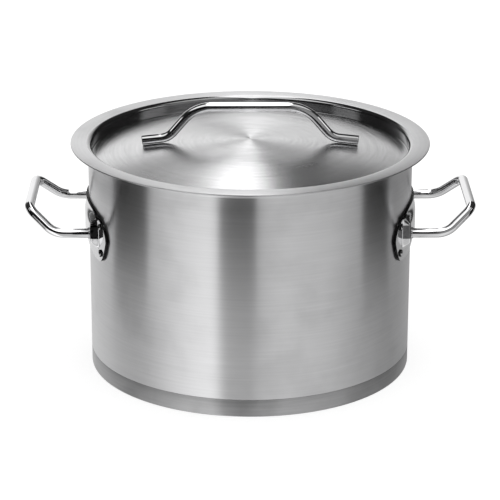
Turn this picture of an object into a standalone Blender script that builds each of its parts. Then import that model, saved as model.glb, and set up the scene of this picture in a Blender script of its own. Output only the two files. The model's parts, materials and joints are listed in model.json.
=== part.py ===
"""Two-handled stainless catering pot with a domed, sunken lid.

Frame: metres, +Z up. The origin is the centre of the base, where the pot stands.
The side handles lie along X, the lid handle too. The lid lifts off along +Z.
"""
import math

import bmesh
import bpy
from mathutils import Matrix, Vector

MM = 0.001

# ---------------------------------------------------------------- driving sizes
BODY_RADIUS = 140.0 * MM        # outside of the straight wall
POT_HEIGHT = 198.0 * MM         # base to the top of the pot's rim
WALL = 1.0 * MM                 # drawn sheet of the pot
RIM_FLARE = 10.0 * MM           # turned-out rim, from the wall to its edge
RIM_BEND = 5.0 * MM             # outside bend under the rim
FLOOR_CORNER = 5.0 * MM         # outside corner between wall and floor

CAP_SHEET = 0.8 * MM            # steel cap under the base
CAP_SKIRT = 15.5 * MM           # height of the cap's upright band
CAP_CORNER = 1.6 * MM           # outside corner of the cap
CORE_THICKNESS = 5.7 * MM       # aluminium disc in the base

LID_SHEET = 1.0 * MM
LID_OVERHANG = 4.8 * MM         # lid's flange past the edge of the rim
LID_CLEARANCE = 1.0 * MM        # between the recess wall and the pot's mouth
LID_BEND = 3.0 * MM             # underside bend from flange to recess wall
LID_CORNER = 2.2 * MM           # underside corner from recess wall to floor
LID_RECESS = 11.6 * MM          # flange top down to the edge of the floor
DOME_RISE = 12.5 * MM           # centre of the floor above its edge

TUBE_RADIUS = 4.1 * MM          # all three handles
TUBE_WALL = 1.2 * MM
HANDLE_DROP = 64.9 * MM         # rim down to the axis of the handle legs
LEG_SPACING = 106.4 * MM        # between the two legs of a side handle
LEG_REACH = 27.3 * MM           # wall out to the upward bend
GRIP_REACH = 49.0 * MM          # wall out to the grip
GRIP_SPACING = 84.0 * MM        # between the corners of the grip
GRIP_RISE = 18.6 * MM           # grip above the legs
LEG_BEND = 20.0 * MM
GRIP_BEND = 11.5 * MM

LID_HANDLE_LENGTH = 186.0 * MM  # foot end to foot end
LID_FOOT = 23.0 * MM            # length of each foot up to its bend
LID_CLIMB = 22.5 * MM           # run of each sloping stretch, from a foot to the bar
LID_BAR_RISE = 29.1 * MM        # bar axis above the top of the dome
LID_FOOT_BEND = 16.0 * MM
LID_BAR_BEND = 32.0 * MM

PLATE_SHEET = 2.0 * MM          # pressed bracket plate
LOBE_REACH = 9.25 * MM          # along the wall, rivet line to the end of a lobe
PLATE_TOP = 20.5 * MM           # highest edge above the leg axis
PLATE_END_DROP = 3.0 * MM       # end of a lobe below the leg axis
PLATE_WAIST_DROP = 12.0 * MM    # lower edge at the centre
PLATE_TIP_DROP = 22.5 * MM      # lower tip of a lobe
TIP_ASIDE = 7.5 * MM            # along the wall, leg line to the tip
BRIDGE_LIFT_MIDDLE = 1.1 * MM   # how far the raised bridge stands out, at the centre
BRIDGE_LIFT_LEG = 5.6 * MM      # and at the legs
BRIDGE_SIDE = 2.4 * MM          # width of the step down beside each leg

RIVET_SHANK = 2.0 * MM          # radii
RIVET_HEAD = 3.2 * MM
RIVET_TAIL = 3.2 * MM
RIVET_HEAD_HEIGHT = 1.8 * MM
RIVET_TAIL_HEIGHT = 0.8 * MM
RIVET_RISE = 8.7 * MM           # upper rivet above the leg axis
RIVET_FALL = 14.6 * MM          # lower rivet below it

GAP = 0.3 * MM                  # left between pieces that touch

TURN_STEPS = 60                 # facets round the pot and the lid
RIVET_STEPS = 12
BEND_STEPS = 5
MERGE = 0.01 * MM

# ---------------------------------------------------------------- sizes that follow
MOUTH_RADIUS = BODY_RADIUS - WALL
RIM_RADIUS = BODY_RADIUS + RIM_FLARE
LID_RADIUS = RIM_RADIUS + LID_OVERHANG
TUCK_RADIUS = BODY_RADIUS - CAP_SHEET - GAP       # wall inside the cap's skirt
CORE_BOTTOM = CAP_SHEET + GAP
CORE_TOP = CORE_BOTTOM + CORE_THICKNESS
FLOOR_UNDERSIDE = CORE_TOP + GAP
FLANGE_UNDERSIDE = POT_HEIGHT + GAP
FLANGE_TOP = FLANGE_UNDERSIDE + LID_SHEET
RECESS_RADIUS = MOUTH_RADIUS - LID_CLEARANCE      # outside of the lid's recess wall
LEG_HEIGHT = POT_HEIGHT - HANDLE_DROP
LEG_ARC = BODY_RADIUS * math.asin(0.5 * LEG_SPACING / BODY_RADIUS)
BRIDGE_END_ARC = LEG_ARC + TUBE_RADIUS + 1.5 * GAP
RIVET_ARC = BRIDGE_END_ARC + BRIDGE_SIDE + RIVET_HEAD + GAP
PLATE_HALF_SPAN = RIVET_ARC + LOBE_REACH           # along the wall, centre to the end of a lobe
PLATE_TIP_ARC = LEG_ARC + TIP_ASIDE
PLATE_BACK = BODY_RADIUS + GAP
PLATE_FRONT = PLATE_BACK + PLATE_SHEET
FACET_FACTOR = math.cos(math.pi / TURN_STEPS)     # a facet's middle lies this much nearer the axis


# ---------------------------------------------------------------- helpers
def clear_scene():
    for scene_object in list(bpy.data.objects):
        bpy.data.objects.remove(scene_object)


def new_collection(name):
    collection = bpy.data.collections.new(name)
    bpy.context.scene.collection.children.link(collection)
    return collection


def metal(name, colour, roughness):
    material = bpy.data.materials.new(name)
    material.use_nodes = True
    shader = material.node_tree.nodes["Principled BSDF"]
    shader.inputs["Base Color"].default_value = (*colour, 1.0)
    shader.inputs["Metallic"].default_value = 1.0
    shader.inputs["Roughness"].default_value = roughness
    return material


def add_object(name, mesh, material, parent=None):
    piece = bpy.data.objects.new(name, mesh)
    parts.objects.link(piece)
    mesh.materials.append(material)
    piece.parent = parent
    return piece


def add_empty(name, location=(0.0, 0.0, 0.0), turn=0.0):
    empty = bpy.data.objects.new(name, None)
    parts.objects.link(empty)
    empty.location = location
    empty.rotation_euler.z = turn
    return empty


def settle(piece):
    """Turn a piece's modifiers into plain mesh, smooth but for its real edges."""
    bpy.context.view_layer.update()
    evaluated = piece.evaluated_get(bpy.context.evaluated_depsgraph_get())
    mesh = bpy.data.meshes.new_from_object(evaluated)
    piece.modifiers.clear()
    piece.data = mesh
    mesh.shade_smooth()
    mesh.set_sharp_from_angle(angle=math.radians(40.0))


def arc(centre, radius, start_deg, end_deg, steps=BEND_STEPS):
    """Points (r, z) on an arc, both ends included."""
    points = []
    for step in range(steps + 1):
        angle = math.radians(start_deg + (end_deg - start_deg) * step / steps)
        points.append((centre[0] + radius * math.cos(angle), centre[1] + radius * math.sin(angle)))
    return points


def turned(name, profile, material, parent=None, steps=TURN_STEPS, sheet=0.0):
    """A profile of (r, z) points turned round Z; sheet thickens an open profile inward."""
    mesh = bpy.data.meshes.new(name)
    edges = [(index, index + 1) for index in range(len(profile) - 1)]
    mesh.from_pydata([(radius, 0.0, height) for radius, height in profile], edges, [])
    piece = add_object(name, mesh, material, parent)
    screw = piece.modifiers.new("turn", "SCREW")
    screw.steps = steps
    screw.render_steps = steps
    screw.use_merge_vertices = True
    screw.merge_threshold = MERGE
    screw.use_smooth_shade = True
    if sheet:
        solidify = piece.modifiers.new("sheet", "SOLIDIFY")
        solidify.thickness = sheet
        solidify.offset = -1.0
        solidify.use_even_offset = True
    return piece


def rounded_path(corners, radii):
    """Points along straight runs whose inner corners are rounded."""
    path = [corners[0]]
    for before, corner, after, radius in zip(corners, corners[1:], corners[2:], radii):
        into = (corner - before).normalized()
        out = (after - corner).normalized()
        turn = into.angle(out)
        centre = corner + (out - into).normalized() * (radius / math.cos(turn / 2.0))
        arm = corner - into * radius * math.tan(turn / 2.0) - centre
        axis = into.cross(out).normalized()
        for step in range(BEND_STEPS + 1):
            path.append(centre + Matrix.Rotation(turn * step / BEND_STEPS, 3, axis) @ arm)
    path.append(corners[-1])
    return path


def tube(name, path, material, parent):
    """A hollow tube along a path, open at both ends."""
    curve = bpy.data.curves.new(name + "_path", "CURVE")
    curve.dimensions = "3D"
    spline = curve.splines.new("POLY")
    spline.points.add(len(path) - 1)
    for point, place in zip(spline.points, path):
        point.co = (*place, 1.0)
    curve.bevel_depth = TUBE_RADIUS
    curve.bevel_resolution = 4
    guide = bpy.data.objects.new(name + "_path", curve)
    parts.objects.link(guide)
    bpy.context.view_layer.update()
    skin = bpy.data.meshes.new_from_object(guide.evaluated_get(bpy.context.evaluated_depsgraph_get()))
    bpy.data.objects.remove(guide)
    piece = add_object(name, skin, material, parent)
    solidify = piece.modifiers.new("tube_wall", "SOLIDIFY")
    solidify.thickness = TUBE_WALL
    solidify.offset = -1.0
    solidify.use_even_offset = True
    settle(piece)
    return piece


def round_cutter(name, parent, radius, placings):
    """One cutter made of round pins; each placing is a start point and an end point."""
    drill = bmesh.new()
    for start, end in placings:
        run = end - start
        turn = run.to_track_quat("Z", "Y").to_matrix().to_4x4()
        bmesh.ops.create_cone(
            drill,
            cap_ends=True,
            segments=RIVET_STEPS,
            radius1=radius,
            radius2=radius,
            depth=run.length,
            matrix=Matrix.Translation((start + end) / 2.0) @ turn,
        )
    mesh = bpy.data.meshes.new(name)
    drill.to_mesh(mesh)
    drill.free()
    cutter = bpy.data.objects.new(name, mesh)
    cutters.objects.link(cutter)
    cutter.parent = parent
    cutter.hide_render = True
    cutter.display_type = "WIRE"
    return cutter


def cut(piece, cutter):
    boolean = piece.modifiers.new(cutter.name, "BOOLEAN")
    boolean.operation = "DIFFERENCE"
    boolean.solver = "EXACT"
    boolean.object = cutter


def smooth_step(value, start, end):
    share = min(max((value - start) / (end - start), 0.0), 1.0)
    return share * share * (3.0 - 2.0 * share)


# ---------------------------------------------------------------- pot shell
def make_shell():
    """Outer side of the drawn cup, from the rim's edge down to the middle of the floor."""
    ledge = CAP_SKIRT + GAP
    rim_under = POT_HEIGHT - WALL
    profile = [(RIM_RADIUS, rim_under)]
    profile += arc((BODY_RADIUS + RIM_BEND, rim_under - RIM_BEND), RIM_BEND, 90.0, 180.0)
    profile += [(BODY_RADIUS, ledge), (TUCK_RADIUS, ledge)]
    corner_centre = (TUCK_RADIUS - FLOOR_CORNER, FLOOR_UNDERSIDE + FLOOR_CORNER)
    profile += arc(corner_centre, FLOOR_CORNER, 0.0, -90.0, 4)
    profile += [(0.0, FLOOR_UNDERSIDE)]
    return turned("pot_shell", profile, brushed, sheet=WALL)


# ---------------------------------------------------------------- layered base
def make_base():
    core_profile = [
        (0.0, CORE_TOP),
        (TUCK_RADIUS - FLOOR_CORNER, CORE_TOP),
        (TUCK_RADIUS, CORE_TOP - GAP),
        (TUCK_RADIUS, CORE_BOTTOM),
        (0.0, CORE_BOTTOM),
    ]
    settle(turned("base_core", core_profile, aluminium))
    cap_profile = [(BODY_RADIUS, CAP_SKIRT)]
    cap_profile += arc((BODY_RADIUS - CAP_CORNER, CAP_CORNER), CAP_CORNER, 0.0, -90.0, 3)
    cap_profile += [(0.0, 0.0)]
    settle(turned("base_cap", cap_profile, brushed, sheet=CAP_SHEET))


# ---------------------------------------------------------------- lid
def dome_under(radius):
    """Height of the lid floor's underside at a distance from the axis."""
    edge = RECESS_RADIUS - LID_CORNER
    sphere = (edge * edge + DOME_RISE * DOME_RISE) / (2.0 * DOME_RISE)
    edge_height = FLANGE_TOP - LID_RECESS - LID_SHEET
    return edge_height + DOME_RISE - sphere + math.sqrt(sphere * sphere - radius * radius)


def make_lid_pan(lid):
    """Underside of the lid, from the flange's edge down the recess wall and in under the dome."""
    edge = RECESS_RADIUS - LID_CORNER
    slope = math.degrees(2.0 * math.atan(DOME_RISE / edge))
    corner_end = edge - LID_CORNER * math.sin(math.radians(slope))
    corner_height = dome_under(corner_end) + LID_CORNER * math.cos(math.radians(slope))
    base = lid.location.z
    profile = [(LID_RADIUS, FLANGE_UNDERSIDE)]
    profile += arc((RECESS_RADIUS + LID_BEND, FLANGE_UNDERSIDE - LID_BEND), LID_BEND, 90.0, 180.0, 4)
    profile += arc((edge, corner_height), LID_CORNER, 0.0, -90.0 - slope, 4)
    rings = 8
    for ring in range(rings - 1, -1, -1):
        radius = corner_end * ring / rings
        profile.append((radius, dome_under(radius)))
    profile = [(radius, height - base) for radius, height in profile]
    settle(turned("lid_pan", profile, brushed, parent=lid, sheet=LID_SHEET))


def make_lid_handle(lid):
    """A tube that lies on the dome at both feet and bridges its middle."""
    foot_end = 0.5 * LID_HANDLE_LENGTH
    foot_bend = foot_end - LID_FOOT
    lie = LID_SHEET + GAP + TUBE_RADIUS
    ends = [
        Vector((foot_end, 0.0, dome_under(foot_end) + lie)),
        Vector((foot_bend, 0.0, dome_under(foot_bend) + lie)),
        Vector((foot_bend - LID_CLIMB, 0.0, dome_under(0.0) + LID_SHEET + LID_BAR_RISE)),
    ]
    base = Vector((0.0, 0.0, lid.location.z))
    right = [point - base for point in ends]
    left = [Vector((-point.x, point.y, point.z)) for point in right]
    corners = left + right[::-1]
    radii = [LID_FOOT_BEND, LID_BAR_BEND, LID_BAR_BEND, LID_FOOT_BEND]
    tube("lid_handle", rounded_path(corners, radii), polished, lid)


# ---------------------------------------------------------------- brackets and side handles
def plate_top(along):
    """Upper edge of the bracket, above the leg axis, at a distance along the wall."""
    share = 1.0 - (along / PLATE_HALF_SPAN) ** 4
    return -PLATE_END_DROP + (PLATE_TOP + PLATE_END_DROP) * math.sqrt(max(share, 0.0))


def plate_bottom(along):
    """Lower edge: a raised waist, a tip on each lobe, and a round end."""
    if along < PLATE_TIP_ARC:
        return -PLATE_WAIST_DROP - (PLATE_TIP_DROP - PLATE_WAIST_DROP) * smooth_step(along, 0.0, PLATE_TIP_ARC)
    share = (along - PLATE_TIP_ARC) / (PLATE_HALF_SPAN - PLATE_TIP_ARC)
    return -PLATE_END_DROP - (PLATE_TIP_DROP - PLATE_END_DROP) * (1.0 - share * share)


def bridge_lift(along, above):
    """How far the pressed bridge stands out between the lobes."""
    bulge = BRIDGE_LIFT_MIDDLE + (BRIDGE_LIFT_LEG - BRIDGE_LIFT_MIDDLE) * (along / LEG_ARC) ** 2
    beside = 1.0 - smooth_step(along, BRIDGE_END_ARC, BRIDGE_END_ARC + BRIDGE_SIDE)
    below = smooth_step(above, -3.2 * TUBE_RADIUS, -1.3 * TUBE_RADIUS)
    over = 1.0 - smooth_step(above, 2.2 * TUBE_RADIUS, PLATE_TOP - PLATE_SHEET)
    return bulge * beside * below * over


def make_bracket(side, mount):
    """The face of half the plate, mirrored and thickened toward the wall."""
    bridge_columns = [BRIDGE_END_ARC * share for share in (0.0, 0.24, 0.46, 0.65, 0.82, 1.0)]
    lobe_start = BRIDGE_END_ARC + BRIDGE_SIDE
    lobe_run = PLATE_HALF_SPAN - lobe_start
    lobe_columns = [lobe_start + lobe_run * math.sin(math.radians(angle)) for angle in (0, 25, 50, 72, 90)]
    columns = bridge_columns + lobe_columns
    rows = 9
    grid = bmesh.new()
    bmesh.ops.create_grid(grid, x_segments=len(columns) - 1, y_segments=rows, size=0.5)
    for vertex in grid.verts:
        along = columns[round((vertex.co.x + 0.5) * (len(columns) - 1))]
        low = plate_bottom(along)
        above = low + (plate_top(along) - low) * (vertex.co.y + 0.5)
        radius = PLATE_FRONT + bridge_lift(along, above)
        angle = along / BODY_RADIUS
        vertex.co = (-radius * math.cos(angle), -radius * math.sin(angle), above)
    bmesh.ops.remove_doubles(grid, verts=grid.verts, dist=MERGE)
    mesh = bpy.data.meshes.new("bracket_" + side)
    grid.to_mesh(mesh)
    grid.free()
    bracket = add_object("bracket_" + side, mesh, polished, mount)
    mirror = bracket.modifiers.new("two_lobes", "MIRROR")
    mirror.use_axis = (False, True, False)
    mirror.merge_threshold = MERGE
    solidify = bracket.modifiers.new("sheet", "SOLIDIFY")
    solidify.thickness = PLATE_SHEET
    solidify.offset = -1.0
    solidify.use_even_offset = True
    return bracket


def make_side_handle(side, mount):
    half_legs = 0.5 * LEG_SPACING
    half_grip = 0.5 * GRIP_SPACING
    nearest_wall = math.sqrt(BODY_RADIUS ** 2 - (half_legs - TUBE_RADIUS) ** 2)
    root = nearest_wall + 4.0 * GAP
    front = [
        Vector((-root, -half_legs, 0.0)),
        Vector((-BODY_RADIUS - LEG_REACH, -half_legs, 0.0)),
        Vector((-BODY_RADIUS - GRIP_REACH, -half_grip, GRIP_RISE)),
    ]
    back = [Vector((point.x, -point.y, point.z)) for point in front]
    corners = front + back[::-1]
    radii = [LEG_BEND, GRIP_BEND, GRIP_BEND, LEG_BEND]
    tube("handle_" + side, rounded_path(corners, radii), polished, mount)


def radial(along):
    angle = along / BODY_RADIUS
    return Vector((-math.cos(angle), -math.sin(angle), 0.0))


def rivet_places():
    """Direction from the axis and height above the leg axis, for the four rivets of a bracket."""
    return [
        (radial(lobe * RIVET_ARC), height)
        for lobe in (-1.0, 1.0)
        for height in (RIVET_RISE, -RIVET_FALL)
    ]


def make_rivet(name, direction, height, mount):
    """Head outside the plate, shank through plate and wall, closed tail inside the pot."""
    head_under = PLATE_FRONT + GAP
    tail_over = MOUTH_RADIUS * FACET_FACTOR - GAP
    crown = RIVET_HEAD_HEIGHT
    ball = (RIVET_HEAD ** 2 + crown ** 2) / (2.0 * crown)
    edge_deg = math.degrees(math.acos(RIVET_HEAD / ball))
    profile = arc((0.0, head_under + crown - ball), ball, 90.0, edge_deg, 3)
    profile += [
        (RIVET_SHANK, head_under),
        (RIVET_SHANK, tail_over),
        (RIVET_TAIL, tail_over),
        (RIVET_TAIL, tail_over - RIVET_TAIL_HEIGHT),
        (0.0, tail_over - RIVET_TAIL_HEIGHT),
    ]
    rivet = turned(name, profile, polished, parent=mount, steps=RIVET_STEPS)
    rivet.location.z = height
    rivet.rotation_euler = direction.to_track_quat("Z", "Y").to_euler()
    settle(rivet)


def make_side(side, turn, shell):
    mount = add_empty("mount_" + side, (0.0, 0.0, LEG_HEIGHT), turn)
    bracket = make_bracket(side, mount)
    make_side_handle(side, mount)
    drillings = []
    for index, (direction, height) in enumerate(rivet_places(), start=1):
        make_rivet("rivet_" + side + "_" + str(index), direction, height, mount)
        lift = Vector((0.0, 0.0, height))
        inside = direction * (MOUTH_RADIUS - RIVET_TAIL) + lift
        outside = direction * (PLATE_FRONT + RIVET_TAIL) + lift
        drillings.append((inside, outside))
    rivet_holes = round_cutter("rivet_holes_" + side, mount, RIVET_SHANK + GAP, drillings)
    leg_start = Vector((-BODY_RADIUS * math.cos(BRIDGE_END_ARC / BODY_RADIUS), 0.0, 0.0))
    leg_end = Vector((-BODY_RADIUS - LEG_REACH, 0.0, 0.0))
    aside = Vector((0.0, 0.5 * LEG_SPACING, 0.0))
    legs = [(leg_start + aside, leg_end + aside), (leg_start - aside, leg_end - aside)]
    leg_holes = round_cutter("leg_holes_" + side, mount, TUBE_RADIUS + GAP, legs)
    cut(bracket, rivet_holes)
    cut(bracket, leg_holes)
    settle(bracket)
    cut(shell, rivet_holes)


# ---------------------------------------------------------------- build
clear_scene()
parts = new_collection("catering_pot")
cutters = new_collection("cutters")
brushed = metal("brushed_steel", (0.60, 0.60, 0.61), 0.32)
polished = metal("polished_steel", (0.68, 0.68, 0.69), 0.12)
aluminium = metal("aluminium", (0.72, 0.73, 0.74), 0.45)

pot_shell = make_shell()
make_base()
make_side("left", 0.0, pot_shell)
make_side("right", math.pi, pot_shell)
settle(pot_shell)
lid_axis = add_empty("lid_axis", (0.0, 0.0, FLANGE_UNDERSIDE))
make_lid_pan(lid_axis)
make_lid_handle(lid_axis)
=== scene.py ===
# %% [markdown]
# # A catering pot with a sunken, domed lid
#
# The solid model of the pot already has its real sizes and its moving lid. This lesson dresses that
# model: every sheet, tube and rivet is made again at a finer mesh, and each metal gets the finish that
# its own machine leaves on it. The pot is nearly all bare steel, and steel has no colour of its own to
# speak of, so most of the work goes into grain, gloss and what the metal has to reflect.

import json
import math

import bmesh
import bpy
from mathutils import Matrix, Vector

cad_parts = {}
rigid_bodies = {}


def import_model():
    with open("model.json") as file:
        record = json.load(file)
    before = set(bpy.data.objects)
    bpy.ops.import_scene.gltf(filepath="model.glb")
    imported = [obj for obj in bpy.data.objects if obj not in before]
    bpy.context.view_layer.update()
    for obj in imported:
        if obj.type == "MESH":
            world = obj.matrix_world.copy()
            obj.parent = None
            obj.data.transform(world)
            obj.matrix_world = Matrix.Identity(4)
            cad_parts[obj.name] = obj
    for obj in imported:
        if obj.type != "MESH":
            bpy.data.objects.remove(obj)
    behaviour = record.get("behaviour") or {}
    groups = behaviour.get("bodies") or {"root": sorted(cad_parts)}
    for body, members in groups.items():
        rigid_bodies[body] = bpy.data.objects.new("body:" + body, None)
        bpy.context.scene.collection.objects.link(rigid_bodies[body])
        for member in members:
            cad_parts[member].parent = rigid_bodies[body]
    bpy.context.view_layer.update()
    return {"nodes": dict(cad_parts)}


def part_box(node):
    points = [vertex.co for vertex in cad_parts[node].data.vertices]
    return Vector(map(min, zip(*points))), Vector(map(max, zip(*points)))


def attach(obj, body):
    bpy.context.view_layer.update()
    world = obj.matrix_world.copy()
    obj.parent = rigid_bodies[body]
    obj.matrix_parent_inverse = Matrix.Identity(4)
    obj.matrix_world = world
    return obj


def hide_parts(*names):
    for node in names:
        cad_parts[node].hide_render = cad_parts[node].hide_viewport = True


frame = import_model()
nodes = frame["nodes"]
print("solid model:", len(nodes), "pieces")

# %% [markdown]
# ## Sizes
#
# The solid model knows where everything is, so the lesson measures it instead of repeating numbers.
# What a box can't tell, such as the thickness of a sheet or the radius of a bend, is named here once,
# in millimetres, as a sheet metal worker would write it on a drawing.

# %% Measure the pot
MM = 0.001
cap_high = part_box("base_cap")[1]
shell_low, shell_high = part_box("pot_shell")
body_radius = cap_high.x
cap_height = cap_high.z
pot_height = shell_high.z
rim_radius = shell_high.y
floor_underside = shell_low.z
print(f"body {2000 * body_radius:.0f} mm across, {1000 * pot_height:.0f} mm high")

# %% Measure the lid
pan_low, pan_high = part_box("lid_pan")
lid_radius = pan_high.x
flange_top = pan_high.z
pan_bottom = pan_low.z
print(f"lid {2000 * lid_radius:.0f} mm across, sunk {1000 * (flange_top - pan_bottom):.1f} mm")

# %% Measure the handles
TUBE_RADIUS = 4.1 * MM
handle_low, handle_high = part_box("handle_left")
leg_height = handle_low.z + TUBE_RADIUS
grip_height = handle_high.z - TUBE_RADIUS
grip_reach = -handle_low.x - TUBE_RADIUS
leg_aside = handle_high.y - TUBE_RADIUS
bar_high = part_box("lid_handle")[1]
print(f"legs {2000 * leg_aside:.0f} mm apart, grip {1000 * grip_reach:.0f} mm from the axis")

# %% Name what a box can't tell
SHEET = 1.0 * MM
RIM_BEND = 5.0 * MM
FLOOR_CORNER = 5.0 * MM
CAP_SHEET = 0.8 * MM
CAP_CORNER = 1.6 * MM
LID_CLEARANCE = 1.0 * MM
LID_BEND = 3.0 * MM
LID_CORNER = 2.2 * MM
DOME_RISE = 12.5 * MM
TUBE_WALL = 1.2 * MM
FIT_GAP = 0.3 * MM
print(f"pot sheet {1000 * SHEET:.1f} mm, tube wall {1000 * TUBE_WALL:.1f} mm")

# %% [markdown]
# ## Sheets turned on a lathe
#
# The body is drawn in a press and then finished while it spins, and so are the cap under the base and
# the lid. A Screw modifier would turn an outline into such a piece, but one outline here has several
# finishes along it. So the helper below turns a closed outline itself, a ring of points for each
# corner, and notes on each strip of faces which finish it has. The outline includes both sides of the
# sheet and its rolled edge, because a real sheet never ends in a knife edge.

# %% Points on an arc
def arc(centre, radius, start_deg, end_deg, steps=8):
    """Points (r, z) on an arc, both ends included."""
    points = []
    for step in range(steps + 1):
        angle = math.radians(start_deg + (end_deg - start_deg) * step / steps)
        points.append((centre[0] + radius * math.cos(angle), centre[1] + radius * math.sin(angle)))
    return points

# %% Turn an outline round the axis
TURN_STEPS = 240
pieces = bpy.data.collections.new("catering_pot_looks")
bpy.context.scene.collection.children.link(pieces)


def add_piece(name, mesh, body, stands_for):
    """A finished mesh joins the pot: it rides on a body and stands for solid pieces."""
    piece = bpy.data.objects.new(name, mesh)
    pieces.objects.link(piece)
    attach(piece, body)
    if stands_for:
        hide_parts(*stands_for)
    return piece


def smooth_faces(mesh, angle_deg):
    mesh.shade_smooth()
    mesh.set_sharp_from_angle(angle=math.radians(angle_deg))


def finished_mesh(name, shape, angle_deg=38.0):
    """The faces built so far as a smooth-shaded mesh that faces outward."""
    bmesh.ops.recalc_face_normals(shape, faces=shape.faces)
    mesh = bpy.data.meshes.new(name)
    shape.to_mesh(mesh)
    shape.free()
    smooth_faces(mesh, angle_deg)
    return mesh


def turned_mesh(name, outline, finishes=None, steps=TURN_STEPS):
    """An outline of (r, z) turned round Z; points on the axis become one vertex."""
    on_axis = 0.01 * MM
    shape = bmesh.new()
    rings = []
    for radius, height in outline:
        if radius < on_axis:
            rings.append([shape.verts.new((0.0, 0.0, height))])
            continue
        ring = []
        for step in range(steps):
            angle = 2.0 * math.pi * step / steps
            ring.append(shape.verts.new((radius * math.cos(angle), radius * math.sin(angle), height)))
        rings.append(ring)
    count = len(rings)
    closed = outline[0][0] >= on_axis or outline[-1][0] >= on_axis
    for index in range(count if closed else count - 1):
        low, high = rings[index], rings[(index + 1) % count]
        if len(low) == 1 and len(high) == 1:
            continue
        for step in range(steps):
            after = (step + 1) % steps
            corners = [ring[place % len(ring)] for ring, place in
                       ((low, step), (low, after), (high, after), (high, step))]
            face = shape.faces.new(list(dict.fromkeys(corners)))
            face.material_index = finishes[index] if finishes else 0
    return finished_mesh(name, shape)


print("outlines are turned in", TURN_STEPS, "steps")

# %% [markdown]
# ## The drawn body
#
# The wall stands straight for its whole height, turns outward over a 5 mm bend and ends in a flat rim
# that keeps the mouth round. Low down it steps in by the thickness of the base's cap, so that the cap
# lies flush with the wall. The outline runs out along the underside of the floor, up the outside,
# round the rim's edge and back down the inside.

# %% The body's outline
mouth_radius = body_radius - SHEET
tuck_radius = body_radius - CAP_SHEET - FIT_GAP
SEAM = 0.08 * MM
ledge = cap_height + SEAM
rim_under = pot_height - SHEET
bend_centre = (body_radius + RIM_BEND, rim_under - RIM_BEND)
corner_centre = (tuck_radius - FLOOR_CORNER, floor_underside + FLOOR_CORNER)
EDGE_ROUND = 0.15 * MM

body_outline = [(0.0, floor_underside)]
body_outline += arc(corner_centre, FLOOR_CORNER, -90.0, 0.0)
body_outline += [(tuck_radius, ledge - EDGE_ROUND)]
body_outline += arc((body_radius - EDGE_ROUND, ledge + EDGE_ROUND), EDGE_ROUND, -90.0, 0.0, 4)
body_outline += [(body_radius, rim_under - RIM_BEND - 8.0 * MM)]
body_outline += arc(bend_centre, RIM_BEND, 180.0, 90.0, 12)
body_outline += arc((rim_radius - 0.5 * SHEET, rim_under + 0.5 * SHEET), 0.5 * SHEET, -90.0, 90.0)
body_outline += arc(bend_centre, RIM_BEND + SHEET, 90.0, 180.0, 12)
body_outline += [(mouth_radius, ledge + 3.0 * MM), (tuck_radius - SHEET, ledge - 1.0 * MM)]
body_outline += arc(corner_centre, FLOOR_CORNER - SHEET, 0.0, -90.0)
body_outline += [(0.0, floor_underside + SHEET)]
body_mesh = turned_mesh("pot_body", body_outline)
pot_body = add_piece("pot_body", body_mesh, "pot", ["pot_shell"])
print("body:", len(body_mesh.polygons), "faces")

# %% [markdown]
# ## The cap under the base
#
# The base is a sandwich: steel floor, aluminium disc, steel cap. From outside only the cap shows, as a
# band 15.5 mm high. Its lower corner is nearly square with a small radius, and its upper edge is
# broken by hand, which is why a hairline shows between the band and the wall.

# %% The cap's outline
CAP_EDGE = 0.15 * MM
cap_centre = (body_radius - CAP_CORNER, CAP_CORNER)
cap_outline = [(0.0, 0.0)]
cap_outline += arc(cap_centre, CAP_CORNER, -90.0, 0.0)
cap_outline += arc((body_radius - CAP_EDGE, cap_height - CAP_EDGE), CAP_EDGE, 0.0, 90.0, 4)
cap_outline += [(body_radius - CAP_SHEET, cap_height)]
cap_outline += arc(cap_centre, CAP_CORNER - CAP_SHEET, 0.0, -90.0)
cap_outline += [(0.0, CAP_SHEET)]
cap_mesh = turned_mesh("base_band", cap_outline)
base_band = add_piece("base_band", cap_mesh, "pot", ["base_cap"])
print("band:", len(cap_mesh.polygons), "faces")

# %% [markdown]
# ## The lid
#
# The lid is one sheet in three parts: a flat flange that lies on the rim, a short wall that drops into
# the mouth, and a floor that is domed a little so that it stays stiff. The dome is part of a big
# sphere. Three finishes meet on it: the flange is satin, the short wall keeps the gloss of the
# press, and the floor is spun, with the small dimple of the lathe's centre in its middle. Each stretch
# of the outline says which finish it has.

# %% The dome as part of a sphere
recess_radius = mouth_radius - LID_CLEARANCE
dome_edge = recess_radius - LID_CORNER
sphere_radius = (dome_edge ** 2 + DOME_RISE ** 2) / (2.0 * DOME_RISE)
flange_underside = flange_top - SHEET
LID_RECESS = 11.6 * MM
dome_edge_height = flange_top - LID_RECESS - SHEET


def dome_under(radius):
    """Height of the underside of the lid's floor at a distance from the axis."""
    return dome_edge_height + DOME_RISE - sphere_radius + math.sqrt(sphere_radius ** 2 - radius ** 2)


edge_slope = math.degrees(2.0 * math.atan(DOME_RISE / dome_edge))
print(f"dome: sphere of {sphere_radius:.2f} m, {edge_slope:.1f} degrees at its edge")

# %% The lid's outline, with a finish for each stretch
SPUN, SATIN, POLISHED = 0, 1, 2
lid_bend_centre = (recess_radius + LID_BEND, flange_underside - LID_BEND)
corner_end = dome_edge - LID_CORNER * math.sin(math.radians(edge_slope))
corner_height = dome_under(corner_end) + LID_CORNER * math.cos(math.radians(edge_slope))
lid_corner_centre = (dome_edge, corner_height)
DOME_RINGS = 24
lid_outline = []
lid_finishes = []


def add_stretch(points, finish):
    lid_outline.extend(points)
    lid_finishes.extend([finish] * len(points))


def dome_points(lift, rings):
    """Points on the dome from rings[0] to rings[1] shares of its radius."""
    points = []
    for ring in rings:
        radius = corner_end * ring / DOME_RINGS
        points.append((radius, dome_under(radius) + lift))
    return points


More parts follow.
